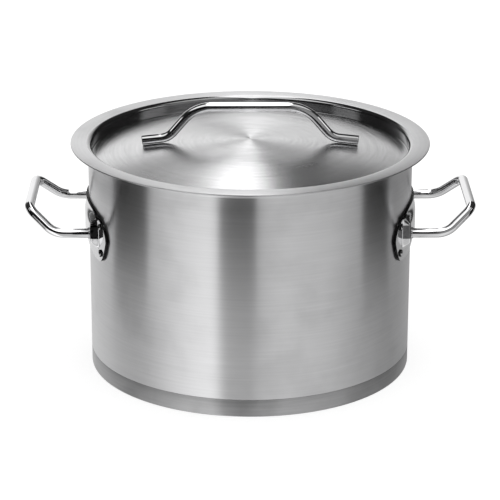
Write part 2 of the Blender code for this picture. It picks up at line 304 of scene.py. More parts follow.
CENTRE_MARK = 0.9 * MM
CENTRE_DEPTH = 0.25 * MM
add_stretch(dome_points(0.0, range(0, DOME_RINGS)), SPUN)
add_stretch(arc(lid_corner_centre, LID_CORNER, -90.0 - edge_slope, 0.0), POLISHED)
add_stretch(arc(lid_bend_centre, LID_BEND, 180.0, 90.0), SATIN)
flange_edge = (lid_radius - 0.5 * SHEET, flange_underside + 0.5 * SHEET)
add_stretch(arc(flange_edge, 0.5 * SHEET, -90.0, 90.0), SATIN)
add_stretch(arc(lid_bend_centre, LID_BEND + SHEET, 90.0, 180.0, 12), POLISHED)
add_stretch(arc(lid_corner_centre, LID_CORNER - SHEET, 0.0, -90.0 - edge_slope)[:-1], POLISHED)
lid_outline.append((corner_end, dome_under(corner_end) + SHEET))
lid_finishes.append(SPUN)
add_stretch(dome_points(SHEET, range(DOME_RINGS - 1, 0, -1)), SPUN)
centre_top = dome_under(0.0) + SHEET
mark_side = (0.8 * CENTRE_MARK, centre_top - 0.6 * CENTRE_DEPTH)
add_stretch([(1.6 * CENTRE_MARK, centre_top), mark_side, (0.0, centre_top - CENTRE_DEPTH)], SPUN)
lid_mesh = turned_mesh("lid_sheet", lid_outline, lid_finishes)
lid_sheet = add_piece("lid_sheet", lid_mesh, "lid", ["lid_pan"])
print("lid:", len(lid_mesh.polygons), "faces")

# %% [markdown]
# ## Tubes
#
# All three handles are bent from the same thin tube, and none of them is capped: at the feet of the
# lid's handle one looks into the open end. A bevelled curve gives a tube but no inside and no lip, so
# the helper carries a ring of points along a path itself. It goes out over the outer skin, round the
# lip and back along the bore. The ring is turned as little as possible from step to step, which keeps
# long highlights straight.

# %% A path with rounded corners
def rounded_path(corners, radii, steps=14):
    """Points along straight runs whose inner corners are rounded."""
    path = [corners[0]]
    for before, corner, after, radius in zip(corners, corners[1:], corners[2:], radii):
        into = (corner - before).normalized()
        out = (after - corner).normalized()
        turn = into.angle(out)
        centre = corner + (out - into).normalized() * (radius / math.cos(turn / 2.0))
        arm = corner - into * radius * math.tan(turn / 2.0) - centre
        axis = into.cross(out).normalized()
        for step in range(steps + 1):
            path.append(centre + Matrix.Rotation(turn * step / steps, 3, axis) @ arm)
    path.append(corners[-1])
    return path

# %% Rings carried along a path
def carried_frames(path):
    """For each point of a path: the point, its direction, and a side that hardly turns."""
    frames = []
    side = None
    for index, point in enumerate(path):
        before = path[max(index - 1, 0)]
        after = path[min(index + 1, len(path) - 1)]
        ahead = ((point - before).normalized() + (after - point).normalized()).normalized()
        if side is None:
            side = ahead.orthogonal().normalized()
        side = (side - ahead * side.dot(ahead)).normalized()
        frames.append((point, ahead, side))
    return frames


def ring_points(centre, ahead, side, radius, count):
    up = ahead.cross(side)
    places = []
    for step in range(count):
        angle = 2.0 * math.pi * step / count
        places.append(centre + side * radius * math.cos(angle) + up * radius * math.sin(angle))
    return places


def looped_mesh(name, rings, angle_deg):
    """Rings of places joined side by side, the last one to the first."""
    shape = bmesh.new()
    loops = [[shape.verts.new(place) for place in ring] for ring in rings]
    for low, high in zip(loops, loops[1:] + loops[:1]):
        for step in range(len(low)):
            after = (step + 1) % len(low)
            shape.faces.new((low[step], low[after], high[after], high[step]))
    return finished_mesh(name, shape, angle_deg)


def tube_mesh(name, path, sides=28):
    """A hollow tube with rolled lips: outer skin, lip, bore and lip again."""
    frames = carried_frames(path)
    bore = TUBE_RADIUS - TUBE_WALL
    lip = 0.5 * TUBE_WALL
    rings = []
    for point, ahead, side in frames[1:-1]:
        rings.append(ring_points(point, ahead, side, TUBE_RADIUS, sides))
    for (point, ahead, side), outward in ((frames[-1], 1.0), (frames[0], -1.0)):
        turn = []
        for angle_deg in range(0, 181, 30):
            angle = math.radians(angle_deg)
            radius = bore + lip + lip * math.cos(angle)
            push = outward * lip * (math.sin(angle) - 1.0)
            turn.append(ring_points(point + ahead * push, ahead, side, radius, sides))
        if outward > 0.0:
            rings += turn
            for point, ahead, side in reversed(frames[1:-1]):
                rings.append(ring_points(point, ahead, side, bore, sides))
        else:
            rings += turn[::-1]
    return looped_mesh(name, rings, 60.0)

# %% [markdown]
# ## The lid's handle
#
# It lies on the dome with both feet, climbs at about 50 degrees and crosses the middle as a straight
# bar, high enough for a gloved hand. The bends at the bar are wide, those at the feet are tight.

# %% The lid's handle
LID_FOOT = 23.0 * MM
LID_BAR = 95.0 * MM
LID_FOOT_BEND = 16.0 * MM
LID_BAR_BEND = 32.0 * MM
foot_lie = SHEET + FIT_GAP + TUBE_RADIUS
foot_end = bar_high.x
foot_bend = foot_end - LID_FOOT
bar_height = bar_high.z - TUBE_RADIUS
right_half = [
    Vector((foot_end, 0.0, dome_under(foot_end) + foot_lie)),
    Vector((foot_bend, 0.0, dome_under(foot_bend) + foot_lie)),
    Vector((0.5 * LID_BAR, 0.0, bar_height)),
]
left_half = [Vector((-point.x, point.y, point.z)) for point in right_half]
lid_handle_path = rounded_path(
    left_half + right_half[::-1],
    [LID_FOOT_BEND, LID_BAR_BEND, LID_BAR_BEND, LID_FOOT_BEND],
)
lid_handle_mesh = tube_mesh("lid_grab_handle", lid_handle_path)
lid_grab_handle = add_piece(
    "lid_grab_handle", lid_handle_mesh, "lid", ["lid_handle"]
)
print("lid handle:", len(lid_handle_mesh.polygons), "faces")

# %% [markdown]
# ## The side handles
#
# Each side handle comes straight out of its plate, turns up and inward, and ends in a level grip. The
# left one is drawn, and the right one is the same path turned half round the pot's axis.

# %% The side handles
LEG_REACH = 27.3 * MM
GRIP_SPACING = 84.0 * MM
LEG_BEND = 20.0 * MM
GRIP_BEND = 11.5 * MM
leg_root = math.sqrt(body_radius ** 2 - (leg_aside - TUBE_RADIUS) ** 2) + 4.0 * FIT_GAP
front_half = [
    Vector((-leg_root, -leg_aside, leg_height)),
    Vector((-body_radius - LEG_REACH, -leg_aside, leg_height)),
    Vector((-grip_reach, -0.5 * GRIP_SPACING, grip_height)),
]
back_half = [Vector((point.x, -point.y, point.z)) for point in front_half]
handle_path = rounded_path(
    front_half + back_half[::-1],
    [LEG_BEND, GRIP_BEND, GRIP_BEND, LEG_BEND],
)
SIDES = {"left": 0.0, "right": math.pi}
side_tubes = []
for side_name, turn in SIDES.items():
    half_turn = Matrix.Rotation(turn, 3, "Z")
    mesh = tube_mesh("side_tube_" + side_name, [half_turn @ point for point in handle_path])
    solid = "handle_" + side_name
    side_tubes.append(add_piece("side_tube_" + side_name, mesh, "pot", [solid]))
print("side handles:", len(side_tubes))

# %% [markdown]
# ## The saddle plates
#
# The handle is carried by a pressed plate that hugs the wall. Its two lobes are riveted down. Between
# them the sheet is raised into a bridge, and the tube's legs come out where the bridge is highest. The
# edge is written as two curves along the wall, upper and lower, and the height of the bridge as a
# third. The patch between them is laid as a grid and thickened inward.
#
# Three finishes meet here too. The face is polished. The cut edge is coloured near black as painted
# shade along the plate's border, so the Solidify modifier gives its rim a material of its own, and a
# narrow Bevel breaks the corner as tumbling does. In the corner beside each leg the faces of the grid
# get a third one: painted shade, darker on the left plate than on the right.

# %% The plate's edges and its bridge
PLATE_SHEET = 2.0 * MM
PLATE_END_DROP = 3.0 * MM
PLATE_WAIST_DROP = 12.0 * MM
TIP_ASIDE = 7.5 * MM
BRIDGE_LIFT_MIDDLE = 1.1 * MM
BRIDGE_LIFT_LEG = 5.6 * MM
BRIDGE_SIDE = 2.4 * MM
BRIDGE_FOOT = (-3.2 * TUBE_RADIUS, -1.3 * TUBE_RADIUS)
BRIDGE_BROW = 2.2 * TUBE_RADIUS
bracket_low, bracket_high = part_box("bracket_left")
plate_front = body_radius + FIT_GAP + PLATE_SHEET
plate_top_rise = bracket_high.z - leg_height
plate_tip_drop = leg_height - bracket_low.z
plate_half_span = body_radius * math.asin(bracket_high.y / plate_front)
leg_arc = body_radius * math.asin(leg_aside / body_radius)
bridge_end_arc = leg_arc + TUBE_RADIUS + 1.5 * FIT_GAP
plate_tip_arc = leg_arc + TIP_ASIDE


def smooth_step(value, start, end):
    """0 before start, 1 after end, and an S-curve between them."""
    share = min(max((value - start) / (end - start), 0.0), 1.0)
    return share * share * (3.0 - 2.0 * share)


def plate_top(along):
    """Height of the upper edge over the legs' axis, at a distance along the wall."""
    share = 1.0 - (along / plate_half_span) ** 4
    return -PLATE_END_DROP + (plate_top_rise + PLATE_END_DROP) * math.sqrt(max(share, 0.0))


def plate_bottom(along):
    """Height of the lower edge: up at the waist, lowest at the lobe's tip."""
    if along < plate_tip_arc:
        share = smooth_step(along, 0.0, plate_tip_arc)
        return -PLATE_WAIST_DROP - (plate_tip_drop - PLATE_WAIST_DROP) * share
    share = (along - plate_tip_arc) / (plate_half_span - plate_tip_arc)
    return -PLATE_END_DROP - (plate_tip_drop - PLATE_END_DROP) * (1.0 - share * share)


def bridge_lift(along, above):
    """How far the bridge stands off the flat of the plate."""
    bulge = BRIDGE_LIFT_MIDDLE + (BRIDGE_LIFT_LEG - BRIDGE_LIFT_MIDDLE) * (along / leg_arc) ** 2
    beside = 1.0 - smooth_step(along, bridge_end_arc, bridge_end_arc + BRIDGE_SIDE)
    below = smooth_step(above, *BRIDGE_FOOT)
    over = 1.0 - smooth_step(above, BRIDGE_BROW, plate_top_rise - PLATE_SHEET)
    return bulge * beside * below * over


print(f"plate: {2000 * plate_half_span:.0f} mm along the wall")

# %% Lay the patch and thicken it
PLATE_ROWS = 34
# The faces between these bounds, in the corner beside each leg, get painted shade.
CORNER_SHADE_FROM = bridge_end_arc - 0.6 * MM
CORNER_SHADE_TO = bridge_end_arc + BRIDGE_SIDE + 0.8 * MM
CORNER_SHADE_LOW = -0.7 * TUBE_RADIUS
CORNER_SHADE_HIGH = 2.3 * TUBE_RADIUS
FACE, CUT_EDGE, CORNER_SHADE = 0, 1, 2


def plate_columns():
    """Places along the wall, close together where the bridge steps down and where the lobe ends."""
    lobe_start = bridge_end_arc + BRIDGE_SIDE
    bridge = [bridge_end_arc * step / 20 for step in range(20)]
    flank = [bridge_end_arc + BRIDGE_SIDE * step / 8 for step in range(8)]
    lobe_run = plate_half_span - lobe_start
    lobe = [lobe_start + lobe_run * math.sin(0.5 * math.pi * step / 16) for step in range(17)]
    return bridge + flank + lobe


def settled_mesh(piece):
    """The piece's mesh with its modifiers worked in."""
    bpy.context.view_layer.update()
    evaluated = piece.evaluated_get(bpy.context.evaluated_depsgraph_get())
    mesh = bpy.data.meshes.new_from_object(evaluated)
    piece.modifiers.clear()
    return mesh


def make_plate(side_name, turn):
    """A plate as a grid in columns, thickened toward the wall."""
    columns = plate_columns()
    grid = bmesh.new()
    rows = []
    for mirrored, run in ((-1.0, columns[:0:-1]), (1.0, columns)):
        for along in run:
            low = plate_bottom(along)
            high = plate_top(along)
            row = []
            for step in range(PLATE_ROWS + 1):
                above = low + (high - low) * step / PLATE_ROWS
                radius = plate_front + bridge_lift(along, above)
                angle = mirrored * along / body_radius + turn
                place = (-radius * math.cos(angle), -radius * math.sin(angle), leg_height + above)
                row.append(grid.verts.new(place))
            rows.append(row)
    for left, right in zip(rows, rows[1:]):
        for step in range(PLATE_ROWS):
            face = grid.faces.new((left[step], right[step], right[step + 1], left[step + 1]))
            middle = face.calc_center_median()
            beside = plate_front * abs(math.atan2(middle.y, abs(middle.x)))
            above = middle.z - leg_height
            # A face in the corner beside the leg gets the painted-shade material.
            in_shaded_corner = CORNER_SHADE_FROM < beside < CORNER_SHADE_TO and CORNER_SHADE_LOW < above < CORNER_SHADE_HIGH
            face.material_index = CORNER_SHADE if in_shaded_corner else FACE
    bmesh.ops.remove_doubles(grid, verts=grid.verts, dist=0.01 * MM)
    mesh = bpy.data.meshes.new("saddle_plate_" + side_name)
    grid.to_mesh(mesh)
    grid.free()
    solid = "bracket_" + side_name
    plate = add_piece("saddle_plate_" + side_name, mesh, "pot", [solid])
    for stand_in in ("plate_face", "plate_edge", "plate_corner_shade"):
        mesh.materials.append(bpy.data.materials.new(stand_in))
    sheet = plate.modifiers.new("sheet", "SOLIDIFY")
    sheet.thickness = PLATE_SHEET
    sheet.offset = -1.0
    sheet.use_even_offset = True
    # The rim takes the near-black material, painted shade along the plate's border.
    sheet.material_offset_rim = CUT_EDGE
    edge = plate.modifiers.new("broken_corner", "BEVEL")
    edge.width = 0.65 * MM
    edge.segments = 4
    edge.material = FACE
    edge.limit_method = "ANGLE"
    edge.angle_limit = math.radians(55.0)
    plate.data = settled_mesh(plate)
    smooth_faces(plate.data, 50.0)
    return plate


plates = [make_plate(side_name, turn) for side_name, turn in SIDES.items()]
print("plates:", len(plates), "with", len(plates[0].data.polygons), "faces each")

# %% [markdown]
# ## Rivets
#
# Four solid rivets hold each plate. The head is set with a cupped tool, which leaves a low crown with
# a shallow ring pressed round it. That ring gets the plate edge's near-black colour, painted shade
# round each head. Each rivet is an outline turned round its own axis, and its place and direction
# come from the solid rivet that it stands for.

# %% Make every rivet
RIVET_HEAD = 3.2 * MM
RIVET_SHANK = 2.0 * MM
RIVET_TAIL = 3.2 * MM
HEAD_HEIGHT = 1.8 * MM
TAIL_HEIGHT = 0.8 * MM
HEAD_EDGE = 0.35 * MM
CROWN_SHARE = 0.66
CROWN_SINK = 2.0 * MM
TAIL_CHAMFER = (0.3 * MM, 0.6 * TAIL_HEIGHT)
WALL_STEPS = 60
head_under = plate_front + FIT_GAP
tail_over = mouth_radius * math.cos(math.pi / WALL_STEPS) - FIT_GAP


def rivet_outline():
    """The rivet's outline from the crown to the tail, in distances from the pot's axis."""
    crown = HEAD_HEIGHT + CROWN_SINK
    outline = [(0.0, head_under + HEAD_HEIGHT)]
    outline += arc((0.0, head_under - CROWN_SINK), crown, 82.0, 54.0, 6)
    outline += [(RIVET_HEAD - 1.1 * HEAD_EDGE, head_under + 1.7 * HEAD_EDGE)]
    outline += arc((RIVET_HEAD - HEAD_EDGE, head_under + HEAD_EDGE), HEAD_EDGE, 60.0, -60.0, 4)
    outline += [(RIVET_SHANK, head_under), (RIVET_SHANK, tail_over), (RIVET_TAIL, tail_over)]
    outline += [(RIVET_TAIL, tail_over - TAIL_CHAMFER[1])]
    outline += [(RIVET_TAIL - TAIL_CHAMFER[0], tail_over - TAIL_HEIGHT)]
    outline += [(0.0, tail_over - TAIL_HEIGHT)]
    return outline


outline = rivet_outline()
# The outer part of each head takes the near-black edge material, painted shade round the head.
in_painted_ring = [radius > CROWN_SHARE * RIVET_HEAD and height > head_under - 0.1 * MM
           for radius, height in outline]
rivets = []
for side_name in SIDES:
    for number in range(1, 5):
        name = f"rivet_head_{side_name}_{number}"
        solid = f"rivet_{side_name}_{number}"
        low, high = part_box(solid)
        middle = (low + high) / 2.0
        outward = Vector((middle.x, middle.y, 0.0)).normalized()
        mesh = turned_mesh(name, outline, in_painted_ring, steps=40)
        mesh.transform(outward.to_track_quat("Z", "Y").to_matrix().to_4x4())
        mesh.transform(Matrix.Translation((0.0, 0.0, middle.z)))
        rivets.append(add_piece(name, mesh, "pot", [solid]))
print("rivets:", len(rivets))

# %% [markdown]
# ## Weld beads
#
# Each leg is welded all round where it leaves the plate. The bead follows the line in which a round
# tube meets a curved plate, so the path is worked out from those two shapes. It swells and sinks a
# little, as a hand-laid bead does.

# %% Beads where the legs leave the plate
BEAD_RADIUS = 0.75 * MM
BEAD_STEPS = 72
BEAD_CORNERS = 10
BEAD_RIPPLES = 22
BEAD_SWELL = 0.12


def bead_mesh(name, aside_sign, turn):
    """A bead round one leg: in front of the pot or behind it, turned to its side."""
    half_turn = Matrix.Rotation(turn, 3, "Z")
    places = []
    for step in range(BEAD_STEPS):
        angle = 2.0 * math.pi * step / BEAD_STEPS
        aside = leg_aside + TUBE_RADIUS * math.cos(angle)
        above = TUBE_RADIUS * math.sin(angle)
        along = body_radius * math.asin(aside / plate_front)
        radius = plate_front + bridge_lift(along, above)
        outward = math.sqrt(radius ** 2 - aside ** 2)
        places.append(Vector((-outward, aside_sign * aside, leg_height + above)))
    rings = []
    leg = Vector((0.0, aside_sign * leg_aside, leg_height))
    for step, place in enumerate(places):
        away = Vector((0.0, place.y - leg.y, place.z - leg.z)).normalized()
        ripple = math.sin(BEAD_RIPPLES * 2.0 * math.pi * step / BEAD_STEPS)
        swell = BEAD_RADIUS * (1.0 + BEAD_SWELL * ripple)
        ring = []
        for corner in range(BEAD_CORNERS):
            angle = 2.0 * math.pi * corner / BEAD_CORNERS
            offset = away * math.cos(angle) + Vector((-1.0, 0.0, 0.0)) * math.sin(angle)
            ring.append(half_turn @ (place + offset * swell))
        rings.append(ring)
    return looped_mesh(name, rings, 80.0)


beads = []
for side_name, turn in SIDES.items():
    for place_name, sign in (("front", -1.0), ("back", 1.0)):
        name = f"weld_bead_{side_name}_{place_name}"
        beads.append(add_piece(name, bead_mesh(name, sign, turn), "pot", []))
print("weld beads:", len(beads))

# %% [markdown]
# ## Grain as a shader group
#
# A belt held against a spinning pot leaves fine lines that all run round its axis. Six finishes need
# them, each with its own fineness, so the lines are a node group. The group works from the place on
# the object: the direction round the axis is kept as a point on a small circle, which has no seam,
# and the distance along the profile is stretched a thousandfold. Noise read there comes out as long
# thin lines. A second, coarser noise gives the streaks that one sees from afar. A third, the same all
# the way round, gives broad bands where the belt pressed harder.

# %% Helpers for node trees
def add_node(tree, kind, inputs=None, **settings):
    """A node with its settings. Each input is given a number or the socket that feeds it."""
    node = tree.nodes.new(kind)
    for name, value in settings.items():
        setattr(node, name, value)
    for name, value in (inputs or {}).items():
        if isinstance(value, bpy.types.NodeSocket):
            tree.links.new(value, node.inputs[name])
        else:
            node.inputs[name].default_value = value
    return node


def maths(tree, operation, *values):
    """A Math node; gives its output socket, as the helpers below do."""
    return add_node(tree, "ShaderNodeMath", dict(enumerate(values)), operation=operation).outputs[0]


def combine(tree, x, y, z):
    return add_node(tree, "ShaderNodeCombineXYZ", {"X": x, "Y": y, "Z": z}).outputs[0]


def remap(tree, value, from_low, from_high, to_low, to_high, smooth=False):
    """Brings a value from one range to another, held at both ends."""
    ends = {"From Min": from_low, "From Max": from_high, "To Min": to_low, "To Max": to_high}
    kind = "SMOOTHSTEP" if smooth else "LINEAR"
    node = add_node(tree, "ShaderNodeMapRange", {"Value": value, **ends}, interpolation_type=kind)
    return node.outputs["Result"]


def noise(tree, vector, scale, detail, roughness, w=None):
    """Noise at a place; with a fourth coordinate when w is given."""
    inputs = {"Vector": vector, "Scale": scale, "Detail": detail, "Roughness": roughness}
    if w is not None:
        inputs["W"] = w
    dimensions = "3D" if w is None else "4D"
    return add_node(tree, "ShaderNodeTexNoise", inputs, noise_dimensions=dimensions).outputs["Fac"]


def new_group(name, inputs, outputs):
    """An empty node group with named float inputs (name, value) and float outputs."""
    tree = bpy.data.node_groups.new(name, "ShaderNodeTree")
    for label, value in inputs:
        socket = tree.interface.new_socket(name=label, in_out="INPUT", socket_type="NodeSocketFloat")
        socket.default_value = value
    for label in outputs:
        tree.interface.new_socket(name=label, in_out="OUTPUT", socket_type="NodeSocketFloat")
    start = tree.nodes.new("NodeGroupInput")
    end = tree.nodes.new("NodeGroupOutput")
    return tree, start.outputs, end.inputs

# %% The round grain group
grain_group, grain_in, grain_out = new_group(
    "round_grain",
    [("Lines per Metre", 900.0), ("Marks round the Axis", 3.2), ("Streaks per Metre", 180.0)],
    ["Grain", "Streaks", "Bands"],
)
NEAREST_AXIS = 0.5 * MM
COARSER_LINES = 0.43
BANDS_PER_METRE = 70.0


def grain_maths(operation, *values):
    return maths(grain_group, operation, *values)


def grain_lines(lines):
    """Noise stretched along the grain, with so many lines to a metre of profile."""
    vector = combine(grain_group, along_x, along_y, grain_maths("MULTIPLY", across, lines))
    return noise(grain_group, vector, 1.0, 0.0, 0.5, grain_maths("MULTIPLY", z, lines))


grain_place = add_node(grain_group, "ShaderNodeTexCoord")
grain_split = add_node(grain_group, "ShaderNodeSeparateXYZ", {0: grain_place.outputs["Object"]})
x, y, z = (grain_split.outputs[axis] for axis in "XYZ")
across_squared = grain_maths("ADD", grain_maths("MULTIPLY", x, x), grain_maths("MULTIPLY", y, y))
across = grain_maths("SQRT", across_squared)
off_axis = grain_maths("MAXIMUM", across, NEAREST_AXIS)
along_x, along_y = (
    grain_maths("MULTIPLY", grain_maths("DIVIDE", part, off_axis), grain_in["Marks round the Axis"])
    for part in (x, y)
)
finest = grain_lines(grain_in["Lines per Metre"])
coarser = grain_lines(grain_maths("MULTIPLY", grain_in["Lines per Metre"], COARSER_LINES))
fine = grain_maths("MULTIPLY", grain_maths("ADD", finest, coarser), 0.5)
coarse = grain_lines(grain_in["Streaks per Metre"])
bands = noise(grain_group, combine(grain_group, 0.0, across, z), BANDS_PER_METRE, 2.0, 0.5)
grain_group.links.new(fine, grain_out["Grain"])
grain_group.links.new(coarse, grain_out["Streaks"])
grain_group.links.new(bands, grain_out["Bands"])
print("grain group:", len(grain_group.nodes), "nodes")

# %% [markdown]
# ## Handling marks as a shader group
#
# Steel that has been wiped and carried is never evenly clean. Soft clouds of duller and slightly darker
# metal come from fingers and cloths, and every finish has them in its own size and strength. The
# polished tubes, plates and rivets also have hair scratches, which only make the metal rougher. On
# brushed steel such scratches would be lost among the lines, so it goes without.

# %% The handling marks group
marks_group, marks_in, marks_out = new_group(
    "handling_marks",
    [("Cloud Size", 0.03), ("Hair Scratches", 1.0)],
    ["Clouds", "Scratches"],
)
marks_place = add_node(marks_group, "ShaderNodeTexCoord").outputs["Object"]
cloud_scale = maths(marks_group, "DIVIDE", 1.0, marks_in["Cloud Size"])
cloud_noise = noise(marks_group, marks_place, cloud_scale, 4.0, 0.55)
clouds = remap(marks_group, cloud_noise, 0.45, 0.75, 0.0, 1.0, smooth=True)
SCRATCH_TILT = (0.5, 0.3, 0.9)
SCRATCHES_PER_METRE = (900.0, 35.0, 35.0)
scratch_turn = add_node(
    marks_group,
    "ShaderNodeMapping",
    {"Vector": marks_place, "Rotation": SCRATCH_TILT, "Scale": SCRATCHES_PER_METRE},
)
scratch_noise = noise(marks_group, scratch_turn.outputs["Vector"], 1.0, 1.0, 0.5)
scratch_lines = remap(marks_group, scratch_noise, 0.70, 0.78, 0.0, 1.0)
scratches = maths(marks_group, "MULTIPLY", scratch_lines, marks_in["Hair Scratches"])
marks_group.links.new(clouds, marks_out["Clouds"])
marks_group.links.new(scratches, marks_out["Scratches"])
print("marks group:", len(marks_group.nodes), "nodes")

# %% [markdown]
# ## Steel
#
# Every steel here is the same alloy, and one function makes its Principled BSDF. The aluminium in the
# base, which stays hidden, is made by it too. What changes from one to the next is how
# much it is worked: the shade of grey, the roughness, and how one-sided the roughness is. Across the
# grain the surface is rough and along it smooth, which the shader calls anisotropic. Its direction
# runs round the pot's axis, given by a Tangent node, and a quarter turn puts the spread across the
# lines. A spread like that draws the light from a lamp out into the long fans and upright bands that
# brushed pots show.

# %% One function for every steel
CLOUD_SHADE = -0.05
SCRATCH_ROUGHNESS = 0.12
STEEL_BLUE = 1.01


def steel(name, grey, rough, spread, grain, marks):
    """A steel with its finish.

    spread is how one-sided the roughness is, from 0 to 1.
    grain is None, or (lines per metre, streaks per metre, shade change, roughness change, bump height).
    marks is (cloud size, roughness added by clouds, share of hair scratches).
    """
    material = bpy.data.materials.new(name)
    material.use_nodes = True
    tree = material.node_tree
    shader = tree.nodes["Principled BSDF"]
    shader.inputs["Metallic"].default_value = 1.0
    shader.inputs["Anisotropic"].default_value = spread
    shade, roughness = grey, rough
    if spread:
        tangent = add_node(tree, "ShaderNodeTangent", direction_type="RADIAL", axis="Z")
        shader.inputs["Anisotropic Rotation"].default_value = 0.25
        tree.links.new(tangent.outputs["Tangent"], shader.inputs["Tangent"])
    if grain:
        lines, streaks, shade_change, rough_change, bump_height = grain
        counts = {"Lines per Metre": lines, "Streaks per Metre": streaks}
        group = add_node(tree, "ShaderNodeGroup", counts, node_tree=grain_group)
        lines_part, streaks_part = (
            maths(tree, "MULTIPLY", group.outputs[label], 0.5) for label in ("Grain", "Streaks")
        )
        uneven = maths(tree, "SUBTRACT", maths(tree, "ADD", lines_part, streaks_part), 0.5)
        band = maths(tree, "MULTIPLY", maths(tree, "SUBTRACT", group.outputs["Bands"], 0.5), 0.5)
        shade = maths(tree, "MULTIPLY_ADD", maths(tree, "ADD", uneven, band), shade_change, grey)
        roughness = maths(tree, "MULTIPLY_ADD", uneven, rough_change, rough)
        if bump_height > 0.0:
            bump_inputs = {"Strength": 1.0, "Distance": bump_height, "Height": group.outputs["Grain"]}
            bump = add_node(tree, "ShaderNodeBump", bump_inputs)
            tree.links.new(bump.outputs["Normal"], shader.inputs["Normal"])
    cloud_size, cloud_rough, scratch_share = marks
    sizes = {"Cloud Size": cloud_size, "Hair Scratches": scratch_share}
    group = add_node(tree, "ShaderNodeGroup", sizes, node_tree=marks_group)
    clouds, scratches = group.outputs["Clouds"], group.outputs["Scratches"]
    roughness = maths(tree, "MULTIPLY_ADD", clouds, cloud_rough, roughness)
    roughness = maths(tree, "MULTIPLY_ADD", scratches, SCRATCH_ROUGHNESS, roughness)
    shade = maths(tree, "MULTIPLY_ADD", clouds, CLOUD_SHADE, shade)
    blue = maths(tree, "MULTIPLY", shade, STEEL_BLUE)
    colour = add_node(tree, "ShaderNodeCombineColor", {"Red": shade, "Green": shade, "Blue": blue})
    tree.links.new(colour.outputs["Color"], shader.inputs["Base Color"])
    tree.links.new(roughness, shader.inputs["Roughness"])
    return material


print("steel is made from two shared groups:", grain_group.name, "and", marks_group.name)

# %% [markdown]
# ## The finishes
#
# The brushed and spun finishes come first, each with its lines, then the polished ones, which have
# none. The dark ones come last, both painted shade: the cut edge of a plate, and the corner beside
# the welds. The left plate's corner shade is painted blacker than the right one.

# %% Mix every finish
materials_before = len(bpy.data.materials)
BODY_MARKS = (0.05, 0.03, 0.0)
brushed_body = steel("brushed_body", 0.60, 0.28, 0.92, (1300.0, 600.0, 0.12, 0.02, 0.0), BODY_MARKS)
satin_flange = steel("satin_flange", 0.56, 0.33, 0.7, (1300.0, 500.0, 0.16, 0.10, 0.0), BODY_MARKS)
spun_grain = (1200.0, 560.0, 0.24, 0.12, 0.0)
spun_floor = steel("spun_lid_floor", 0.56, 0.24, 0.93, spun_grain, (0.05, 0.02, 0.0))
band_grain = (1100.0, 480.0, 0.22, 0.12, 0.0)
turned_band = steel("turned_base_band", 0.42, 0.33, 0.9, band_grain, (0.04, 0.05, 0.0))
pressed_grain = (1500.0, 600.0, 0.1, 0.05, 0.0)
# The sunken wall's grey sits below the other steels: painted shade in the lid's recess.
pressed_wall = steel("pressed_lid_wall", 0.42, 0.10, 0.3, pressed_grain, (0.03, 0.02, 0.0))
core_grain = (700.0, 200.0, 0.08, 0.1, 0.004 * MM)
core_metal = steel("aluminium_core", 0.72, 0.4, 0.0, core_grain, (0.03, 0.05, 0.3))
tube_polish = steel("tube_polish", 0.72, 0.07, 0.0, None, (0.02, 0.03, 0.3))
plate_polish = steel("plate_polish", 0.70, 0.10, 0.0, None, (0.02, 0.05, 0.5))
rivet_polish = steel("rivet_polish", 0.66, 0.12, 0.0, None, (0.01, 0.06, 0.5))
weld_polish = steel("weld_polish", 0.6, 0.2, 0.0, None, (0.004, 0.12, 0.5))
# Near-black steel: painted shade on the plates' cut edges and round the rivet heads.
painted_shade_edge = steel("painted_shade_plate_edge", 0.03, 0.5, 0.0, None, (0.003, 0.1, 0.3))
corner_shade_marks = (0.004, 0.1, 0.3)
# Painted shade in the corner beside each leg, blacker on the left plate than on the right.
painted_corner_shade = [
    steel("painted_corner_shade_left", 0.02, 0.4, 0.0, None, corner_shade_marks),
    steel("painted_corner_shade_right", 0.15, 0.3, 0.0, None, corner_shade_marks),
]
print("finishes:", len(bpy.data.materials) - materials_before)

# %% Dress every piece
def dress(piece, *materials):
    """Puts the materials in the mesh's slots, in the order of its face numbers."""
    for material in materials:
        piece.data.materials.append(material)


dress(pot_body, brushed_body)
dress(base_band, turned_band)
dress(lid_sheet, spun_floor, satin_flange, pressed_wall)
for tube in [lid_grab_handle, *side_tubes]:
    dress(tube, tube_polish)
# Each plate's third slot gets its painted corner shade.
for plate, scale in zip(plates, painted_corner_shade):
    plate.data.materials[FACE] = plate_polish
    plate.data.materials[CUT_EDGE] = painted_shade_edge
    plate.data.materials[CORNER_SHADE] = scale
for rivet in rivets:
    dress(rivet, rivet_polish, painted_shade_edge)
for bead in beads:
    dress(bead, weld_polish)
for core_slot in nodes["base_core"].material_slots:
    core_slot.material = core_metal

# %% [markdown]
# ## The studio
#
# Bare metal shows its surroundings, so a studio lights the surroundings and not the pot. Here the floor
# and the daylight that falls on matt things are plain white. What the metal sees is a tent, which the
# world shader builds from the direction of a ray. The Light Path node keeps it for glossy rays alone,
# and they don't see the floor itself.

# %% Floor
FLOOR_HALF = 6.0
floor_corners = [
    (FLOOR_HALF * east_west, FLOOR_HALF * north_south, 0.0)
    for east_west, north_south in ((-1, -1), (1, -1), (1, 1), (-1, 1))
]
floor_mesh = bpy.data.meshes.new("studio_floor")
floor_mesh.from_pydata(floor_corners, [], [(0, 1, 2, 3)])
studio_floor = bpy.data.objects.new("studio_floor", floor_mesh)
bpy.context.scene.collection.objects.link(studio_floor)


def matt_paper(name, grey, glow=0.0):
    """Paper that reflects no highlight and may glow a little."""
    paper = bpy.data.materials.new(name)
    paper.use_nodes = True
    shader = paper.node_tree.nodes["Principled BSDF"]
    shader.inputs["Base Color"].default_value = (grey, grey, grey, 1.0)
    shader.inputs["Emission Color"].default_value = (1.0, 1.0, 1.0, 1.0)
    shader.inputs["Emission Strength"].default_value = glow
    shader.inputs["Roughness"].default_value = 1.0
    shader.inputs["Specular IOR Level"].default_value = 0.0
    return paper


